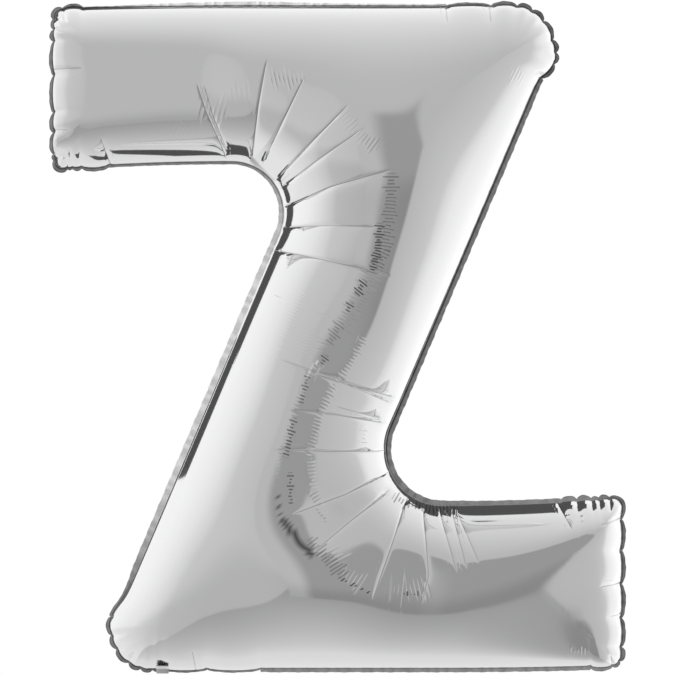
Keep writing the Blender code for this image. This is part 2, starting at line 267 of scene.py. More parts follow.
class BalloonRimSettings(bpy.types.PropertyGroup):
    """Sizes and finish of the welded rim."""

    width: bpy.props.FloatProperty(
        name="Rim width", description="From the seam to the trimmed edge", default=0.0070, unit="LENGTH")
    thickness: bpy.props.FloatProperty(
        name="Rim thickness", description="Thickness of the weld", default=0.0003, unit="LENGTH", precision=5)
    colour: bpy.props.FloatVectorProperty(
        name="Rim colour", description="Colour of the welded film", default=(0.97, 0.97, 0.975),
        subtype="COLOR", size=3)
    roughness: bpy.props.FloatProperty(
        name="Rim roughness", description="Blur of the rim's mirror", default=0.22, subtype="FACTOR")


class BalloonValveSettings(bpy.types.PropertyGroup):
    """Sizes and finish of the filling valve's sleeve."""

    centre_x: bpy.props.FloatProperty(
        name="Valve place", description="Middle of the sleeve along the bottom edge", default=-0.2300, unit="LENGTH")
    width: bpy.props.FloatProperty(
        name="Valve width", description="Width of the sleeve", default=0.016, unit="LENGTH")
    rise: bpy.props.FloatProperty(
        name="Valve rise", description="How far the sleeve reaches up from the seam", default=0.006, unit="LENGTH")
    colour: bpy.props.FloatVectorProperty(
        name="Valve colour", description="Colour of the sleeve", default=(0.72, 0.72, 0.725), subtype="COLOR", size=3)


class BalloonStageSettings(bpy.types.PropertyGroup):
    """Camera, floor and light tent."""

    camera_distance: bpy.props.FloatProperty(
        name="Camera distance", description="From the lens to the weld", default=10.0, unit="LENGTH")
    view_width: bpy.props.FloatProperty(
        name="View width", description="What the picture spans at the weld", default=0.8876, unit="LENGTH")


def half_rows(bar_inner_z, outer_x, inner_x, flare, bend_radius):
    """Rows across one bar and its bend, from the bar's free end at -X to the diagonal.

    Each row joins a point of the outer edge to a point of the inner edge, two (n, 2) arrays of x
    and z. The rows are upright along the bar, closer together at its end, and in the bend they
    are rays at even angles from the middle of the inner bend.
    """
    slope = math.tan(DIAGONAL_SLOPE)
    across = np.array([math.sin(DIAGONAL_SLOPE), -math.cos(DIAGONAL_SLOPE)])
    top = SEAM_HALF_HEIGHT
    end = -SEAM_HALF_WIDTH
    lower = top - CORNER_RADIUS
    corner = np.array([outer_x + lower / slope - CORNER_RADIUS / across[0], lower])
    bend_z = bar_inner_z - bend_radius
    bend = np.array([inner_x + bend_z / slope - bend_radius / across[0], bend_z])

    near = END_LENGTH * np.linspace(0.0, 1.0, ROWS_END, endpoint=False) ** 2
    far = END_LENGTH + (bend[0] - end - END_LENGTH) * np.linspace(0.0, 1.0, ROWS_BAR, endpoint=False)
    run = np.concatenate([near, far])
    inset = np.clip(END_CORNER_RADIUS - run, 0.0, None)
    cut = END_CORNER_RADIUS - np.sqrt(END_CORNER_RADIUS ** 2 - inset ** 2)
    sway = (1.0 - run / (bend[0] - end)) ** 2
    bar_outer = np.column_stack([end + run, top - cut - END_SWAY_OUTER * sway])
    bar_inner = np.column_stack([end + run, bar_inner_z + cut - END_SWAY_INNER * sway])

    angle = np.linspace(math.pi / 2, DIAGONAL_SLOPE - math.pi / 2, ROWS_BEND)
    ray = np.column_stack([np.cos(angle), np.sin(angle)])
    to_top = (top - bend[1]) / np.maximum(ray[:, 1], 1e-6)
    reach = (outer_x - inner_x) * across[0] + bend_radius
    to_slant = reach / np.maximum(ray @ across, 1e-6)
    middle = corner - bend
    along = ray @ middle
    to_arc = along + np.sqrt(np.clip(along ** 2 - middle @ middle + CORNER_RADIUS ** 2, 0.0, None))
    leave = corner + CORNER_RADIUS * across
    on_top = bend[0] + to_top * ray[:, 0] <= corner[0]
    on_slant = bend[1] + to_slant * ray[:, 1] <= leave[1]
    distance = np.where(on_top, to_top, np.where(on_slant, to_slant, to_arc))
    round_outer = bend + distance[:, None] * ray
    round_inner = bend + bend_radius * ray
    bump = flare * np.exp(-((round_outer - leave) ** 2).sum(axis=1) / FLARE_REACH ** 2)
    round_outer = round_outer + bump[:, None] * across
    return np.vstack([bar_outer, round_outer]), np.vstack([bar_inner, round_inner])


def letter_rows():
    """Rows of the whole letter: its upper-right edge and its lower-left edge, (n, 2) arrays."""
    half_width = DIAGONAL_WIDTH / 2 / math.sin(DIAGONAL_SLOPE)
    right_x = DIAGONAL_MIDDLE_X + half_width
    left_x = DIAGONAL_MIDDLE_X - half_width
    right, left = half_rows(TOP_BAR_LOWER_EDGE, right_x, left_x, TOP_CORNER_FLARE, UPPER_BEND_RADIUS)
    bar_z = -BOTTOM_BAR_UPPER_EDGE
    outer, inner = half_rows(bar_z, -left_x, -right_x, BOTTOM_CORNER_FLARE, LOWER_BEND_RADIUS)
    lower_right, lower_left = -inner[::-1], -outer[::-1]
    share = np.linspace(0.0, 1.0, ROWS_DIAGONAL + 2)[1:-1, None]
    middle_right = right[-1] + share * (lower_right[0] - right[-1])
    middle_left = left[-1] + share * (lower_left[0] - left[-1])
    return np.vstack([right, middle_right, lower_right]), np.vstack([left, middle_left, lower_left])


def film_grid(cells):
    """Points of the flat letter, a (rows, across, 2) array.

    Across the letter the points stand at even angles round a half circle, so that they crowd
    towards the edges, and at the free ends they pass to even steps.
    """
    right, left = letter_rows()
    even = np.linspace(0.0, 1.0, cells + 1)
    crowded = (1.0 - np.cos(math.pi * even)) / 2.0
    count = len(right)
    row = np.arange(count)
    near_end = np.minimum(row, count - 1 - row) / (1.4 * ROWS_END)
    mix = smooth(near_end)[:, None]
    share = mix * crowded + (1.0 - mix) * even
    return left[:, None, :] + share[:, :, None] * (right - left)[:, None, :]


def smooth(value):
    """0 below 0, 1 above 1, and a smooth step between."""
    value = np.clip(value, 0.0, 1.0)
    return value * value * (3.0 - 2.0 * value)


def grid_quads(rows, columns):
    """Corner numbers of each cell of a grid of points, row by row."""
    first = (np.arange(rows - 1)[:, None] * columns + np.arange(columns - 1)[None, :]).ravel()
    return np.column_stack([first, first + 1, first + columns + 1, first + columns])


def border_loop(rows, columns):
    """Numbers of the grid's border points, once round."""
    first = np.arange(columns - 1)
    right = np.arange(rows - 1) * columns + columns - 1
    last = rows * columns - 1 - np.arange(columns - 1)
    left = (rows - 1 - np.arange(rows - 1)) * columns
    return np.concatenate([first, right, last, left])


def membrane_sag(grid):
    """Sag of a membrane under even pressure that is held along the letter's long edges.

    The sum of its second slopes is -1. Each cell is two flat triangles, every row of points is
    one block of a block-tridiagonal system, and the blocks are eliminated from end to end.
    """
    rows, columns = grid.shape[:2]
    quads = grid_quads(rows, columns)
    points = grid.reshape(-1, 2)
    diagonal = np.zeros(rows * columns)
    to_right = np.zeros(rows * columns)
    to_next = np.zeros(rows * columns)
    to_next_right = np.zeros(rows * columns)
    load = np.zeros(rows * columns)
    links = {(0, 1): to_right, (1, 2): to_next, (0, 2): to_next_right}
    for corners, names in (((0, 1, 2), ((0, 1), (1, 2), (0, 2))), ((0, 2, 3), ((0, 2), (3, 2), (0, 3)))):
        ids = quads[:, corners]
        a, b, c = (points[ids[:, i]] for i in range(3))
        area = np.abs((b[:, 0] - a[:, 0]) * (c[:, 1] - a[:, 1]) - (b[:, 1] - a[:, 1]) * (c[:, 0] - a[:, 0])) / 2.0
        edges = (c - b, a - c, b - a)
        for i in range(3):
            np.add.at(load, ids[:, i], area / 3.0)
            np.add.at(diagonal, ids[:, i], (edges[i] ** 2).sum(axis=1) / (4.0 * area))
        for i, j, name in ((0, 1, names[0]), (1, 2, names[1]), (0, 2, names[2])):
            value = (edges[i] * edges[j]).sum(axis=1) / (4.0 * area)
            if name in links:
                np.add.at(links[name], quads[:, name[0]], value)
            elif name == (3, 2):
                np.add.at(to_right, quads[:, 3], value)
            else:
                np.add.at(to_next, quads[:, 0], value)
    shape = (rows, columns)
    diagonal, to_right, to_next = diagonal.reshape(shape), to_right.reshape(shape), to_next.reshape(shape)
    to_next_right, load = to_next_right.reshape(shape), load.reshape(shape)[:, 1:-1]
    inner = columns - 2
    eliminated = []
    partial = []
    for row in range(rows):
        block = np.diag(diagonal[row, 1:-1])
        block += np.diag(to_right[row, 1:-2], 1) + np.diag(to_right[row, 1:-2], -1)
        right_side = load[row]
        if row:
            before = np.diag(to_next[row - 1, 1:-1]) + np.diag(to_next_right[row - 1, 1:-2], 1)
            block = block - before.T @ eliminated[-1]
            right_side = right_side - before.T @ partial[-1]
        after = np.diag(to_next[row, 1:-1]) + np.diag(to_next_right[row, 1:-2], 1)
        solved = np.linalg.solve(block, np.column_stack([after, right_side]))
        eliminated.append(solved[:, :inner])
        partial.append(solved[:, inner])
    sag = np.zeros(shape)
    sag[-1, 1:-1] = partial[-1]
    for row in range(rows - 2, -1, -1):
        sag[row, 1:-1] = partial[row] - eliminated[row] @ sag[row + 1, 1:-1]
    return sag


def end_cap(run, above, cap):
    """Height that a closed end allows at a distance from its seam: a wall, a bulge and a facet."""
    wall, wall_reach, bulge, bulge_reach, slope, lean = cap
    near = wall * (1.0 - np.exp(-run / wall_reach)) + bulge * np.tanh(run / bulge_reach)
    beyond = np.clip(run - CAP_LENGTH, 0.0, None)
    return (near + slope * run) * np.clip(1.0 + lean * above, 0.3, 1.6) + CAP_RELEASE * beyond ** 2


def inflated_height(grid):
    """Half thickness of the letter: the square root of twice the sag, closed at the free ends.

    The sag is held at 0 along the long edges only, so a bar keeps its round section up to its
    end. The swells raise or lower it, and each end's cap closes it: of the two heights the smaller
    one counts, with a short rounding between them.
    """
    height = np.sqrt(2.0 * np.clip(membrane_sag(grid), 0.0, None))
    for x, z, share in SWELLS:
        gap = (grid[..., 0] - x) ** 2 + (grid[..., 1] - z) ** 2
        height = height * (1.0 + share * np.exp(-gap / SWELL_REACH ** 2))
    middle = len(grid) // 2
    top_bar_z = (SEAM_HALF_HEIGHT + TOP_BAR_LOWER_EDGE) / 2
    bottom_bar_z = (BOTTOM_BAR_UPPER_EDGE - SEAM_HALF_HEIGHT) / 2
    upper = end_cap(SEAM_HALF_WIDTH + grid[:middle, :, 0], grid[:middle, :, 1] - top_bar_z, LEFT_END_CAP)
    lower = end_cap(SEAM_HALF_WIDTH - grid[middle:, :, 0], grid[middle:, :, 1] - bottom_bar_z, RIGHT_END_CAP)
    allowed = np.maximum(np.vstack([upper, lower]), 1e-9)
    height = height / (1.0 + (height / allowed) ** CAP_SHARPNESS) ** (1.0 / CAP_SHARPNESS)
    height[[0, -1], :] = 0.0
    return height


def polyline_field(points, line):
    """Distance to a line of points, signed side distance and distance along it, for each point."""
    best = np.full(len(points), np.inf)
    along = np.zeros(len(points))
    aside = np.zeros(len(points))
    start = 0.0
    for a, b in zip(line[:-1], line[1:]):
        length = math.dist(a, b)
        direction = (np.asarray(b) - a) / length
        offset = points - a
        run = np.clip(offset @ direction, 0.0, length)
        distance = np.linalg.norm(offset - run[:, None] * direction, axis=1)
        closer = distance < best
        best = np.where(closer, distance, best)
        along = np.where(closer, start + run, along)
        side = offset[:, 0] * direction[1] - offset[:, 1] * direction[0]
        aside = np.where(closer, side, aside)
        start += length
    return best, aside, along, start


def crease_relief(points, from_seam, shift, rng):
    """Depth of all creases at each flat point, and (side distance, strength, share) to the nearest.

    A crease is a sharp groove in a wide hollow: both fall off from its line as exp(-distance /
    width), the groove with a rounded bottom, and both fade out towards the line's first point. The
    hollow also fades out towards the seam.
    """
    relief = np.zeros(len(points))
    lines = np.zeros((len(points), 3))
    lines[:, 0] = 2.0 * LINE_REACH
    for line, groove, hollow in CREASES:
        line = [(x / 1000.0, z / 1000.0) for x, z in line]
        if shift:
            line = [(x + rng.normal(0.0, shift), z + rng.normal(0.0, shift)) for x, z in line]
        box = np.array(line)
        near = ((points > box.min(axis=0) - 0.07) & (points < box.max(axis=0) + 0.07)).all(axis=1)
        distance, aside, along, length = polyline_field(points[near], line)
        share = along / length
        fade = smooth(share / 0.30) * (0.35 + 0.65 * share)
        rounded = np.sqrt(distance ** 2 + GROOVE_BOTTOM ** 2) - GROOVE_BOTTOM
        depth = groove * np.exp(-rounded / GROOVE_WIDTH)
        wide = np.sqrt(distance ** 2 + (3.0 * GROOVE_BOTTOM) ** 2) - 3.0 * GROOVE_BOTTOM
        depth = depth + hollow * np.exp(-wide / HOLLOW_WIDTH) * smooth(from_seam[near] / 0.024)
        relief[near] -= 0.001 * depth * fade
        signed = np.copysign(distance, aside)
        closer = distance < np.abs(lines[near, 0])
        strength = groove * smooth(share / 0.12) * (1.0 - smooth(distance / LINE_REACH - 1.0))
        lines[near] = np.where(closer[:, None], np.column_stack([signed, strength, share]), lines[near])
    return relief, lines


def painted_fold_shadow_depth(points):
    """Depth of the painted fold shadows at each flat point."""
    tone = np.zeros(len(points))
    for line, half_width, depth in PAINTED_FOLD_SHADOWS:
        distance, _, along, length = polyline_field(points, [(x / 1000.0, z / 1000.0) for x, z in line])
        edge = distance / (half_width / 1000.0)
        tone = np.maximum(tone, depth * (1.0 - smooth(edge - 0.4)))
    return tone


def ripple_layers(bands, points, shift, rng):
    """Two layers of (phase, window, strength) at each flat point, for the ripples of the film, or for the painted shade
    in their valleys.

    The phase counts ripples along a band, leaning with the distance from its middle. The window
    is 1 on the middle of the band, 0 at the end of its longest ripples and negative beyond.
    """
    layers = np.zeros((2, len(points), 3))
    layers[:, :, 1] = -1.0
    for line, half_length, pitch, strength, lean, layer in bands:
        line = [(x / 1000.0, z / 1000.0) for x, z in line]
        if shift:
            line = [(x + rng.normal(0.0, shift), z + rng.normal(0.0, shift)) for x, z in line]
        distance, aside, along, length = polyline_field(points, line)
        ends = np.minimum(along, length - along)
        window = 1.0 - distance / (half_length / 1000.0)
        better = window > layers[layer, :, 1]
        phase = (along + lean * aside) / (pitch / 1000.0)
        inside = smooth((ends - 0.0005) / 0.004)
        for column, value in enumerate((phase, window, strength * inside)):
            layers[layer, :, column] = np.where(better, value, layers[layer, :, column])
    return layers


def seam_line(grid):
    """The border once round, from the left end up and over: points, run, and named places."""
    rows, columns = grid.shape[:2]
    corners = grid.reshape(-1, 2)[border_loop(rows, columns)]
    closed = np.vstack([corners, corners[:1]])
    run = np.concatenate([[0.0], np.cumsum(np.linalg.norm(np.diff(closed, axis=0), axis=1))])
    side = columns - 1 + rows - 1
    places = {"left_end": run[0], "right_end": run[side]}
    half = corner_index(corners[columns - 1:side])
    places["top_corner"] = run[columns - 1 + half]
    half = corner_index(-corners[side + columns - 1:])
    places["bottom_corner"] = run[side + columns - 1 + half]
    return corners, run, places


def corner_index(edge):
    """Number of the first point of an edge's round corner, where the level stretch ends."""
    slope = math.tan(DIAGONAL_SLOPE)
    half_width = DIAGONAL_WIDTH / 2 / math.sin(DIAGONAL_SLOPE)
    lower = SEAM_HALF_HEIGHT - CORNER_RADIUS
    level = edge[0, 0] < 0.0
    middle_x = DIAGONAL_MIDDLE_X + half_width if level else -DIAGONAL_MIDDLE_X + half_width
    corner_x = middle_x + lower / slope - CORNER_RADIUS / math.sin(DIAGONAL_SLOPE)
    return int(np.argmax(edge[:, 0] > corner_x))


def lobe_profile(run, places, total):
    """Height of the lobes (0 at a pinch, 1 at the top of a lobe), their length and the pinches."""
    height = np.full(len(run), np.nan)
    size = np.zeros(len(run))
    pinch = np.full(len(run), np.inf)
    for place, first, lengths in LOBE_RUNS:
        starts = places[place] + first + np.cumsum((0.0,) + lengths)
        for start in starts:
            gap = np.abs((run - start + total / 2) % total - total / 2)
            pinch = np.minimum(pinch, gap)
        for start, length in zip(starts, lengths):
            share = ((run - start) % total) / length
            inside = share <= 1.0
            height = np.where(inside, np.sin(math.pi * np.clip(share, 0.0, 1.0)), height)
            size = np.where(inside, length, size)
    return height, size, pinch


class NodeSocketMaths:
    """A shader socket, or a number, on which Python's operators add Math nodes."""

    def __init__(self, tree, value):
        self.tree = tree
        self.value = value

    def math(self, operation, *others):
        node = self.tree.nodes.new("ShaderNodeMath")
        node.operation = operation
        for socket, item in zip(node.inputs, (self,) + others):
            put(self.tree, socket, item)
        return NodeSocketMaths(self.tree, node.outputs[0])

    def __add__(self, other):
        return self.math("ADD", other)

    __radd__ = __add__

    def __sub__(self, other):
        return self.math("SUBTRACT", other)

    def __rsub__(self, other):
        return NodeSocketMaths(self.tree, other).math("SUBTRACT", self)

    def __mul__(self, other):
        return self.math("MULTIPLY", other)

    __rmul__ = __mul__

    def __truediv__(self, other):
        return self.math("DIVIDE", other)

    def __rtruediv__(self, other):
        return NodeSocketMaths(self.tree, other).math("DIVIDE", self)

    def __neg__(self):
        return self * -1.0

    def __abs__(self):
        return self.math("ABSOLUTE")

    def clamp(self):
        node = self.tree.nodes.new("ShaderNodeClamp")
        put(self.tree, node.inputs["Value"], self)
        return NodeSocketMaths(self.tree, node.outputs[0])

    def step(self, low, high):
        """Smooth step from 0 at low to 1 at high."""
        node = self.tree.nodes.new("ShaderNodeMapRange")
        node.interpolation_type = "SMOOTHSTEP"
        for name, item in (("Value", self), ("From Min", low), ("From Max", high)):
            put(self.tree, node.inputs[name], item)
        return NodeSocketMaths(self.tree, node.outputs[0])

    def ramp(self, stops):
        """Grey levels along the value: (place, level) pairs joined by straight lines."""
        result = NodeSocketMaths(self.tree, stops[0][1])
        for (low, first), (high, last) in zip(stops[:-1], stops[1:]):
            node = self.tree.nodes.new("ShaderNodeMapRange")
            for name, item in (("Value", self), ("From Min", low), ("From Max", high), ("To Min", 0.0),
                               ("To Max", last - first)):
                put(self.tree, node.inputs[name], item)
            result = result + NodeSocketMaths(self.tree, node.outputs[0])
        return result


def put(tree, socket, item):
    """Links a wrapped socket to an input, or sets the input to a number."""
    value = item.value if isinstance(item, NodeSocketMaths) else item
    if isinstance(value, bpy.types.NodeSocket):
        tree.links.new(value, socket)
    else:
        socket.default_value = value


class ShaderTree:
    """Adds nodes to one node tree."""

    def __init__(self, tree):
        self.tree = tree
        tree.nodes.clear()

    def add(self, kind, settings=None, inputs=None):
        """A node of a type, with its settings set first and then its inputs set or linked."""
        node = self.tree.nodes.new(kind)
        for name, value in (settings or {}).items():
            setattr(node, name, value)
        for name, item in (inputs or {}).items():
            put(self.tree, node.inputs[name], item)
        return node

    def value(self, node, name=0):
        return NodeSocketMaths(self.tree, node.outputs[name])

    def number(self, value):
        return NodeSocketMaths(self.tree, value)


def film_material(settings):
    """Metallised film: a soft mirror with ripples and fold lines from its attributes, and painted shade in its folds.

    A ripple is height * window * ((1 - cos(2 pi phase)) / 2)^2, and each ripple has a length of its
    own, which a random number taken from the whole part of its phase cuts out of the window. A
    fold line is a groove of depth * exp(-distance / width), with painted shade inside it. The dark
    folds are painted shade: narrow ripples of dark colour, and painted shadows where a fold closes on itself.
    """
    material = bpy.data.materials.new("metallised_film")
    material.use_nodes = True
    shader = ShaderTree(material.node_tree)
    height = shader.number(0.0)
    # Painted shade: the film's colour is darkened where folds close on themselves, in the valleys of short folds and
    # inside fold lines
    tone = shader.value(shader.add("ShaderNodeAttribute", {"attribute_name": "painted_fold_shadow"}), "Fac")
    for layer in ("ripple_a", "ripple_b", "painted_shade_comb_a", "painted_shade_comb_b"):
        field = shader.add("ShaderNodeAttribute", {"attribute_name": layer})
        parts = shader.add("ShaderNodeSeparateXYZ", None, {0: shader.value(field, "Vector")})
        phase, window, strength = (shader.value(parts, i) for i in range(3))
        number = phase.math("FLOOR")
        random = shader.value(shader.add("ShaderNodeTexWhiteNoise", {"noise_dimensions": "1D"}, {"W": number}), "Value")
        wave = (phase * (2.0 * math.pi)).math("COSINE") * -0.5 + 0.5
        if layer.startswith("ripple"):
            length = (window - random * 0.55).step(0.0, 0.55)
            height = height + wave * wave * length * strength * settings.ripple_height
        else:
            # Painted shade in the valleys of the short folds
            length = (window - random * 0.6).step(0.0, 0.25)
            tone = tone.math("MAXIMUM", (wave * length).step(0.35, 0.85) * strength)
    field = shader.add("ShaderNodeAttribute", {"attribute_name": "crease"})
    parts = shader.add("ShaderNodeSeparateXYZ", None, {0: shader.value(field, "Vector")})
    aside, strength = shader.value(parts, 0), shader.value(parts, 1)
    line = (abs(aside) / -LINE_WIDTH).math("EXPONENT")
    height = height - line * strength * settings.line_depth
    # Painted shade inside each fold line
    inside = (abs(aside - 0.0004) / -0.0006).math("EXPONENT")
    tone = tone.math("MAXIMUM", inside * strength * settings.line_painted_shade)
    bump = shader.add("ShaderNodeBump", None, {"Strength": 1.0, "Distance": 1.0, "Height": height})
    # The painted shade mixes the film's colour towards near black
    colour = shader.add("ShaderNodeMix", {"data_type": "RGBA"}, {
        0: tone, 6: (*settings.colour, 1.0), 7: (*(0.05 * value for value in settings.colour), 1.0)})
    surface = shader.add("ShaderNodeBsdfPrincipled", None, {
        "Base Color": NodeSocketMaths(shader.tree, colour.outputs[2]),
        "Metallic": 1.0,
        "Roughness": settings.roughness,
        "Normal": shader.value(bump),
    })
    output = shader.add("ShaderNodeOutputMaterial")
    shader.tree.links.new(surface.outputs[0], output.inputs["Surface"])
    return material


def rim_material(settings):
    """Heat-welded film: a blurred, crinkled mirror whose brightness, read from an attribute, is painted shade and
    painted reflection along the weld.
    """
    material = bpy.data.materials.new("welded_rim")
    material.use_nodes = True
    shader = ShaderTree(material.node_tree)
    painted_rim_shade = shader.value(shader.add("ShaderNodeAttribute", {"attribute_name": "painted_rim_shade"}), "Fac")
    place = shader.value(shader.add("ShaderNodeTexCoord"), "Object")
    noise = shader.add("ShaderNodeTexNoise", None, {"Vector": place, "Scale": 330.0, "Detail": 2.0})
    crinkle = shader.value(noise, 0)
    # Painted shade and painted reflection: the rim's colour is darkened by the attribute, times a random crinkle
    level = (painted_rim_shade * (crinkle * 0.36 + 0.82)).clamp()
    bright = shader.add("ShaderNodeMix", {"data_type": "RGBA"}, {
        0: level, 6: (0.0, 0.0, 0.0, 1.0), 7: (*settings.colour, 1.0)})
    bump = shader.add("ShaderNodeBump", None, {"Strength": 1.0, "Distance": 0.00022, "Height": crinkle})
    surface = shader.add("ShaderNodeBsdfPrincipled", None, {
        "Base Color": NodeSocketMaths(shader.tree, bright.outputs[2]),
        "Metallic": 1.0,
        "Roughness": settings.roughness,
        "Normal": shader.value(bump),
    })
    output = shader.add("ShaderNodeOutputMaterial")
    shader.tree.links.new(surface.outputs[0], output.inputs["Surface"])
    return material


def new_piece(name, points, faces, material, nodes):
    """A mesh object that rides on the balloon and stands for CAD nodes."""
    mesh = bpy.data.meshes.new(name)
    mesh.from_pydata(points, [], faces)
    mesh.update()
    mesh.shade_smooth()
    mesh.materials.append(material)
    piece = bpy.data.objects.new(name, mesh)
    bpy.context.collection.objects.link(piece)
    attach(piece, "root")
    if nodes:
        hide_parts(*nodes)
    return piece


def surface_normals(surface, side):
    """Unit normals of a grid surface, on the side that faces away from the weld."""
    normal = np.cross(np.gradient(surface, axis=0), np.gradient(surface, axis=1))
    normal /= np.maximum(np.linalg.norm(normal, axis=2), 1e-12)[..., None]
    middle = normal[len(normal) // 2, normal.shape[1] // 2, 1]
    return normal * math.copysign(1.0, middle * side)


def film_surface(grid, height, side, shift, rng, crease_depth):
    """One film's points and ripple layers: the inflated surface, lobed at the seam and creased.

    The seam line moves outwards in every lobe of the weld, the film swells behind it, and it
    sinks along a short crease behind each pinch. All of it fades with the distance from the seam.
    """
    rows, columns = height.shape
    flat = grid.reshape(-1, 2)
    corners, run, places = seam_line(grid)
    total = run[-1]
    coarse = np.vstack([corners[::6], corners[:1]])
    coarse_run = np.append(run[:-1][::6], total)
    distance = np.full(len(flat), np.inf)
    along = np.zeros(len(flat))
    outward = np.zeros((len(flat), 2))
    for a, b, start, stop in zip(coarse[:-1], coarse[1:], coarse_run[:-1], coarse_run[1:]):
        direction = (b - a) / np.linalg.norm(b - a)
        offset = flat - a
        step = np.clip(offset @ direction, 0.0, np.linalg.norm(b - a))
        gap = np.linalg.norm(offset - step[:, None] * direction, axis=1)
        closer = gap < distance
        distance = np.where(closer, gap, distance)
        along = np.where(closer, start + step * (stop - start) / np.linalg.norm(b - a), along)
        outward[closer] = (-direction[1], direction[0])
    lobe, size, pinch = lobe_profile(along, places, total)
    lobe = np.nan_to_num(lobe)
    swell = seam_swell(lobe, size, pinch)
    fade = np.exp(-distance / 0.012)
    flat_moved = flat + outward * (swell * fade)[:, None]
    surface = np.stack([flat_moved[:, 0], side * (0.00015 + height.ravel()), flat_moved[:, 1]], axis=-1)
    surface = surface.reshape(rows, columns, 3)
    relief, lines = crease_relief(flat, distance, shift, rng)
    pillow = lobe ** 1.2 * np.clip(size * 0.06, 0.0, 0.0020) * np.exp(-distance / 0.022)
    pinched = 0.0010 * np.exp(-pinch / 0.004) * np.exp(-distance / 0.014)
    amount = relief * crease_depth * smooth(distance / 0.003) + (pillow - pinched) * smooth(distance / 0.008)
    normal = surface_normals(surface, side)
    surface = surface + normal * amount.reshape(rows, columns)[..., None]
    # The fold-shadow field and the two comb fields hold painted shade: painted shadows where folds close on themselves
    # and painted shade in the valleys of short folds
    fields = {"crease": lines, "painted_fold_shadow": painted_fold_shadow_depth(flat)}
    fields["ripple_a"], fields["ripple_b"] = ripple_layers(RIPPLE_BANDS, flat, shift, rng)
    fields["painted_shade_comb_a"], fields["painted_shade_comb_b"] = ripple_layers(PAINTED_FOLD_SHADE_COMBS, flat, shift, rng)
    return surface, fields


def seam_swell(lobe, size, pinch):
    """How far the seam moves outwards: up to 3 mm in the middle of a lobe, inwards at a pinch."""
    return lobe ** 0.7 * np.clip(size * 0.085, 0.0, 0.0030) - 0.0010 * np.exp(-pinch / 0.0025)


class BALLOON_OT_add_films(bpy.types.Operator):
    """Add the front and the back film, inflated and creased"""

    bl_idname = "balloon.add_films"
    bl_label = "Add the films"

    def execute(self, context):
        settings = context.scene.balloon_film
        grid = film_grid(settings.cells_across)
        height = inflated_height(grid)
        material = film_material(settings)
        rng = np.random.default_rng(20)
        for name, side, shift in (("front_film_skin", -1, 0.0), ("back_film_skin", 1, 0.004)):
            surface, fields = film_surface(grid, height, side, shift, rng, settings.crease_depth)
            faces = grid_quads(*height.shape)
            if side < 0:
                faces = faces[:, ::-1]
            node = "front_film" if side < 0 else "back_film"
            piece = new_piece(name, surface.reshape(-1, 3), faces, material, (node,))
            for label, values in fields.items():
                kind, entry = ("FLOAT", "value") if values.ndim == 1 else ("FLOAT_VECTOR", "vector")
                attribute = piece.data.attributes.new(label, kind, "POINT")
                attribute.data.foreach_set(entry, values.ravel())
        return {"FINISHED"}


class BALLOON_OT_add_valve(bpy.types.Operator):
    """Add the filling valve's sleeve at the bottom edge"""

    bl_idname = "balloon.add_valve"
    bl_label = "Add the valve"

    def execute(self, context):
        """A strip over the rim and up the film, with rounded long edges and an oval inlet mark.

        The strip's middle line follows the round section of the bar, and its thickness is that of
        a flat oval: full in the middle and nothing at the long edges.
        """
        settings = context.scene.balloon_valve
        radius = (BOTTOM_BAR_UPPER_EDGE + SEAM_HALF_HEIGHT) / 2
        climb = np.linspace(0.0, math.acos(1.0 - settings.rise / radius), 24)
        path_z = -SEAM_HALF_HEIGHT + radius * (1.0 - np.cos(climb)) - 0.0012
        path_y = -0.0012 - radius * np.sin(climb)
        foot = np.linspace(0.0, 1.0, 8, endpoint=False)
        path_z = np.concatenate([-SEAM_HALF_HEIGHT - 0.0068 + foot * 0.0056, path_z])
        path_y = np.concatenate([np.full(8, -0.0008), path_y])
        tangent = np.column_stack([np.gradient(path_y), np.gradient(path_z)])
        tangent /= np.linalg.norm(tangent, axis=1)[:, None]
        turn = np.linspace(0.0, 2.0 * math.pi, 40, endpoint=False)
        across = settings.centre_x + settings.width / 2 * np.sign(np.cos(turn)) * np.abs(np.cos(turn)) ** 0.6
        thick = 0.0005 * np.sign(np.sin(turn)) * np.abs(np.sin(turn)) ** 0.8
        y = path_y[:, None] - tangent[:, 1:] * thick[None, :]
        z = path_z[:, None] + tangent[:, :1] * thick[None, :]
        points = np.stack([np.broadcast_to(across, y.shape), y, z], axis=-1)
        rows, columns = y.shape
        this = np.arange(rows - 1)[:, None] * columns + np.arange(columns)[None, :]
        beside = np.roll(this, -1, axis=1)
        faces = np.stack([this, this + columns, beside + columns, beside], axis=-1).reshape(-1, 4).tolist()
        faces.append(list(range(columns)))
        faces.append(list(range((rows - 1) * columns, rows * columns))[::-1])
        piece = new_piece("valve_sleeve_skin", points.reshape(-1, 3), faces, self.material(settings),
                          ("valve_sleeve",))
        along = np.linspace(-1.0, 1.0, rows)[:, None]
        oval = np.hypot((points[..., 0] - settings.centre_x) / 0.0045, (along - 0.1) / 0.42)
        attribute = piece.data.attributes.new("inlet", "FLOAT", "POINT")
        attribute.data.foreach_set("value", oval.ravel())
        return {"FINISHED"}

    def material(self, settings):
        """Thin film over the foil: light grey with a darker oval line round the inlet."""
        material = bpy.data.materials.new("valve_film")
        material.use_nodes = True
        shader = ShaderTree(material.node_tree)
        oval = shader.value(shader.add("ShaderNodeAttribute", {"attribute_name": "inlet"}), "Fac")
        line = (abs(oval - 1.0) / -0.16).math("EXPONENT")
        colour = shader.add("ShaderNodeMix", {"data_type": "RGBA"}, {
            0: line * 0.55, 6: (*settings.colour, 1.0), 7: (0.16, 0.16, 0.165, 1.0)})
        surface = shader.add("ShaderNodeBsdfPrincipled", None, {
            "Base Color": NodeSocketMaths(shader.tree, colour.outputs[2]), "Metallic": 0.8, "Roughness": 0.22})
        output = shader.add("ShaderNodeOutputMaterial")
        shader.tree.links.new(surface.outputs[0], output.inputs["Surface"])
        return material


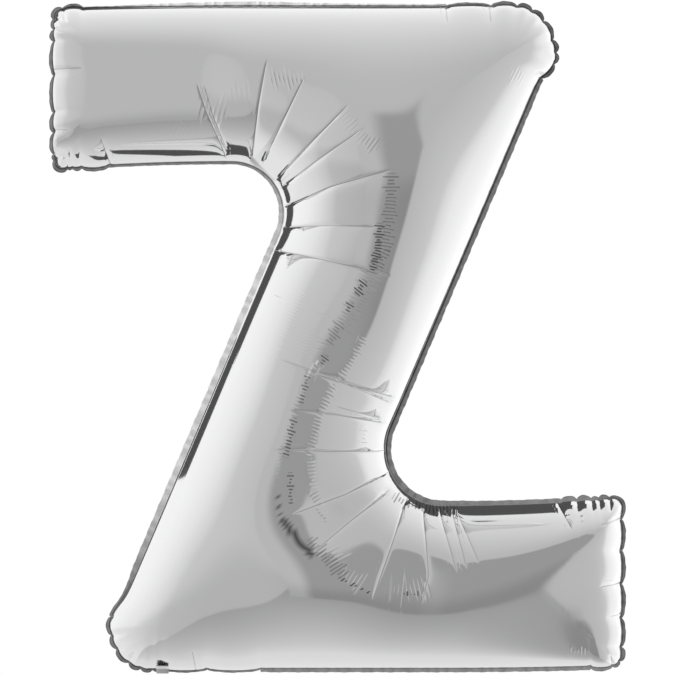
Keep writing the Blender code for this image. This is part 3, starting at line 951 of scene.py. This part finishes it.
class BALLOON_OT_add_rim(bpy.types.Operator):
    """Add the flat welded rim round the letter"""

    bl_idname = "balloon.add_rim"
    bl_label = "Add the welded rim"

    def execute(self, context):
        settings = context.scene.balloon_rim
        grid = film_grid(context.scene.balloon_film.cells_across)
        corners, run, places = seam_line(grid)
        total = run[-1]
        count = 3000
        distance = np.linspace(0.0, total, count, endpoint=False)
        closed = np.vstack([corners, corners[:1]])
        line = np.column_stack([np.interp(distance, run, closed[:, i]) for i in range(2)])
        tangent = np.roll(line, -3, axis=0) - np.roll(line, 3, axis=0)
        tangent /= np.linalg.norm(tangent, axis=1)[:, None]
        outward = np.column_stack([-tangent[:, 1], tangent[:, 0]])
        lobe, size, pinch = lobe_profile(distance, places, total)
        lobed = ~np.isnan(lobe)
        lobe = np.nan_to_num(lobe)
        stations = np.array(RIM_STATIONS)
        # The last two columns of the stations are painted: the shade in the gutter and the weld's painted shade and
        # reflection
        plain, tilt, gutter_shade_width, painted_rim_shade = (np.interp(distance, stations[:, 0], stations[:, i]) for i in range(1, 5))
        swell = seam_swell(lobe, size, pinch)
        reach = np.where(size > 0.05, 0.0044, np.minimum(0.0060, 0.34 * size))
        width = np.where(lobed, 0.0014 + np.sqrt(lobe) * reach, 0.001 * plain)
        width = width * (1.0 + 0.04 * np.sin(distance * 210.0) + 0.03 * np.sin(distance * 517.0 + 1.0))
        start = line + outward * (swell - 0.0008)[:, None]
        share = np.array([0.0, 0.08, 0.2, 0.35, 0.5, 0.65, 0.8, 0.92, 1.0])
        half = settings.thickness / 2
        tilt = np.tan(np.radians(tilt * (1.0 + 0.25 * np.sin(distance * 340.0 + 2.0 * np.sin(distance * 95.0)))))
        across = np.maximum(width - swell, 0.0016) + 0.0008
        front = start[:, None, :] + outward[:, None, :] * (share[None, :, None] * across[:, None, None])
        lift = tilt[:, None] * share[None, :] * across[:, None]
        # Painted shade in the gutter beside the film
        dark = 1.0 - smooth((share[None, :] * across[:, None] - 0.0008 - 0.001 * gutter_shade_width[:, None]) / 0.0008 + 1.0)
        # Painted shade: the outer edges of the lobes are darkened
        edge = np.where(lobed[:, None], 0.45 * smooth((share[None, :] - 0.7) / 0.3), 0.0)
        painted_rim_tones = painted_rim_shade[:, None] * (1.0 - 0.85 * dark) * (1.0 - edge)
        rings = []
        for sheet, offset in ((front, -half), (front[:, ::-1], half)):
            y = (lift if offset < 0 else lift[:, ::-1]) + offset
            rings.append(np.stack([sheet[..., 0], y, sheet[..., 1]], axis=-1))
        section = np.concatenate(rings, axis=1)
        sides = section.shape[1]
        this = np.arange(count)[:, None] * sides + np.arange(sides)[None, :]
        beside = np.roll(this, -1, axis=1)
        ahead = np.roll(this, -1, axis=0)
        ahead_beside = np.roll(beside, -1, axis=0)
        faces = np.stack([this, ahead, ahead_beside, beside], axis=-1).reshape(-1, 4)
        piece = new_piece("welded_rim", section.reshape(-1, 3), faces, rim_material(settings), ("seam_rim",))
        # The attribute carries the rim's painted shade and painted reflection
        attribute = piece.data.attributes.new("painted_rim_shade", "FLOAT", "POINT")
        attribute.data.foreach_set("value", np.concatenate([painted_rim_tones, painted_rim_tones[:, ::-1]], axis=1).ravel())
        return {"FINISHED"}


# Dark screens behind the balloon: how far behind the weld, and the corners (x, z)
DARK_SCREENS = (
    (0.544, ((-0.80, 0.24), (0.40, 0.24), (0.40, 0.70), (-0.80, 0.70))),
    (0.544, ((-0.4865, -0.087), (-0.351, 0.233), (-0.68, 0.373), (-0.8155, 0.053))),
    (0.544, ((-0.05, -0.50), (0.34, -0.50), (0.34, 0.27), (-0.05, 0.27))),
    (0.175, ((-0.285, -0.38), (-0.12, 0.03), (-0.215, 0.03), (-0.40, -0.36))),
    (0.175, ((-0.37, 0.42), (0.22, 0.42), (0.22, 0.515), (-0.37, 0.515))),
)

# Grey levels of the light tent as the foil shows them, 0 to 255, against the angle in degrees from
# the camera's side: over the top, under the bottom, and round the right and the left
TENT_TOP = ((30, 180), (44, 183), (66, 195), (88, 207), (110, 218), (132, 232), (150, 244))
TENT_BOTTOM = ((30, 147), (42, 156), (55, 164), (68, 172), (82, 182), (97, 194), (108, 205), (116, 214), (150, 222))
TENT_RIGHT = ((41, 180), (66, 190), (81, 198), (88, 216), (99, 231), (121, 243), (140, 254))
TENT_LEFT = ((0, 180), (11, 183), (25, 188), (56, 196), (64, 210), (80, 226), (99, 236), (121, 242))


def linear(level):
    """Linear light of a display level from 0 to 255."""
    value = level / 255.0
    return ((value + 0.055) / 1.055) ** 2.4


class BALLOON_OT_add_stage(bpy.types.Operator):
    """Add the camera, the pale floor and the light tent"""

    bl_idname = "balloon.add_stage"
    bl_label = "Add the stage"

    def execute(self, context):
        settings = context.scene.balloon_stage
        scene = context.scene
        scene.view_settings.view_transform = "Standard"
        camera_data = bpy.data.cameras.new("camera")
        camera_data.lens = camera_data.sensor_width * settings.camera_distance / settings.view_width
        camera_data.clip_end = 100.0
        camera = bpy.data.objects.new("camera", camera_data)
        camera.location = (0.0, -settings.camera_distance, 0.0)
        camera.rotation_euler = (math.pi / 2, 0.0, 0.0)
        scene.collection.objects.link(camera)
        scene.camera = camera
        self.add_floor()
        self.add_screens()
        self.add_tent(scene)
        return {"FINISHED"}

    def add_sheet(self, name, points, level):
        """A flat sheet of even brightness that casts no shadow."""
        mesh = bpy.data.meshes.new(name)
        mesh.from_pydata(points, [], [tuple(range(len(points)))])
        material = bpy.data.materials.new(name)
        material.use_nodes = True
        shader = ShaderTree(material.node_tree)
        surface = shader.add("ShaderNodeEmission", None, {"Color": (1.0, 1.0, 1.0, 1.0), "Strength": level})
        output = shader.add("ShaderNodeOutputMaterial")
        shader.tree.links.new(surface.outputs[0], output.inputs["Surface"])
        mesh.materials.append(material)
        sheet = bpy.data.objects.new(name, mesh)
        bpy.context.scene.collection.objects.link(sheet)
        sheet.visible_diffuse = False
        sheet.visible_shadow = False
        return sheet

    def add_floor(self):
        """A round pale floor under the balloon."""
        angle = np.linspace(0.0, 2.0 * math.pi, 64, endpoint=False)
        points = np.column_stack([4.0 * np.cos(angle), 4.0 * np.sin(angle), np.full(64, -0.47)])
        self.add_sheet("floor", points, 1.0).visible_glossy = False

    def add_screens(self):
        """Dark screens behind the balloon, which only the foil sees, along its upper edges."""
        for number, (depth, corners) in enumerate(DARK_SCREENS):
            points = [(x, depth, z) for x, z in corners]
            self.add_sheet("screen_%d" % number, points, linear(80.0)).visible_camera = False

    def add_tent(self, scene):
        """The world: white to the camera, and to the foil a box of soft panels.

        The direction that the foil looks in meets one of the box's sides: the camera's side, the
        top or bottom, or the right or left. Each side's grey runs with the angle from the camera's
        side.
        """
        world = bpy.data.worlds.new("light_tent")
        world.use_nodes = True
        scene.world = world
        shader = ShaderTree(world.node_tree)
        direction = shader.value(shader.add("ShaderNodeTexCoord"), "Generated")
        parts = shader.add("ShaderNodeSeparateXYZ", None, {0: direction})
        x, y, z = (shader.value(parts, i) for i in range(3))
        over = z.math("ARCTAN2", -y) * (180.0 / math.pi)
        round_right = x.math("ARCTAN2", -y) * (180.0 / math.pi)
        top = over.ramp([(a, linear(g)) for a, g in TENT_TOP])
        bottom = (-over).ramp([(a, linear(g)) for a, g in TENT_BOTTOM])
        right = round_right.ramp([(a, linear(g)) for a, g in TENT_RIGHT])
        left = (-round_right).ramp([(a, linear(g)) for a, g in TENT_LEFT])
        upward = z.step(-0.02, 0.02)
        rightward = x.step(-0.02, 0.02)
        level = bottom + (top - bottom) * upward
        left = left * (1.0 - (-z).step(0.05, 0.35) * 0.15)
        upright = left + (right - left) * rightward
        ahead = (-y).math("MAXIMUM", 0.02)
        side_reach = (x / 0.87).math("MAXIMUM", x / -0.35)
        height_reach = (z / 0.68).math("MAXIMUM", z / -0.80)
        reach = side_reach.math("MAXIMUM", height_reach).math("MAXIMUM", (z + x * 1.3) / 1.33)
        rightmost = x / ahead
        lift = ((rightmost - 0.57).math("MAXIMUM", 0.0) / -0.3).math("EXPONENT") * 0.35
        right_top = z / ahead - rightmost * 0.42 - lift
        left_top = z / 0.68 + x / 0.35
        left_bottom = -z / 0.54 + x / 0.35
        right_bottom = -z / 0.80 - x / 0.87
        above = left_top + (right_top - left_top) * rightward
        below = left_bottom + (right_bottom - left_bottom) * rightward
        edge = below + (above - below) * upward
        wall = upright + (level - upright) * edge.step(-0.03, 0.03)
        near = linear(181.0) + (linear(150.0) - linear(181.0)) * (x / ahead).step(-0.12, 0.14)
        near = near * (1.0 - (-z / ahead).step(0.20, 0.70) * 0.20)
        tent = wall + (near - wall) * (-y - reach).step(-0.05, 0.05)
        foil = tent / 0.90
        seen = shader.value(shader.add("ShaderNodeLightPath"), "Is Camera Ray")
        strength = foil + (1.0 - foil) * seen
        background = shader.add("ShaderNodeBackground", None, {"Color": (1.0, 1.0, 1.0, 1.0), "Strength": strength})
        output = shader.add("ShaderNodeOutputWorld")
        shader.tree.links.new(background.outputs[0], output.inputs["Surface"])


class BALLOON_PT_panel(bpy.types.Panel):
    """Lists the balloon's settings and the operators that add its pieces"""

    bl_idname = "BALLOON_PT_panel"
    bl_label = "Letter foil balloon"
    bl_space_type = "VIEW_3D"
    bl_region_type = "UI"
    bl_category = "Balloon"

    def draw(self, context):
        layout = self.layout
        for group, operator in PANEL_ROWS:
            box = layout.box()
            for name in getattr(context.scene, group).bl_rna.properties.keys():
                if name not in ("rna_type", "name"):
                    box.prop(getattr(context.scene, group), name)
            box.operator(operator)


PANEL_ROWS = (
    ("balloon_film", "balloon.add_films"),
    ("balloon_rim", "balloon.add_rim"),
    ("balloon_valve", "balloon.add_valve"),
    ("balloon_stage", "balloon.add_stage"),
)
SETTINGS = (
    ("balloon_film", BalloonFilmSettings),
    ("balloon_rim", BalloonRimSettings),
    ("balloon_valve", BalloonValveSettings),
    ("balloon_stage", BalloonStageSettings),
)
CLASSES = (
    BALLOON_OT_add_films, BALLOON_OT_add_rim, BALLOON_OT_add_valve, BALLOON_OT_add_stage, BALLOON_PT_panel,
)


def register():
    for name, group in SETTINGS:
        bpy.utils.register_class(group)
        setattr(bpy.types.Scene, name, bpy.props.PointerProperty(type=group))
    for item in CLASSES:
        bpy.utils.register_class(item)


def unregister():
    for item in reversed(CLASSES):
        bpy.utils.unregister_class(item)
    for name, group in reversed(SETTINGS):
        delattr(bpy.types.Scene, name)
        bpy.utils.unregister_class(group)


def main():
    """Builds the stage and every piece."""
    register()
    bpy.ops.balloon.add_stage()
    bpy.ops.balloon.add_films()
    bpy.ops.balloon.add_rim()
    bpy.ops.balloon.add_valve()


if __name__ == "__main__":
    main()
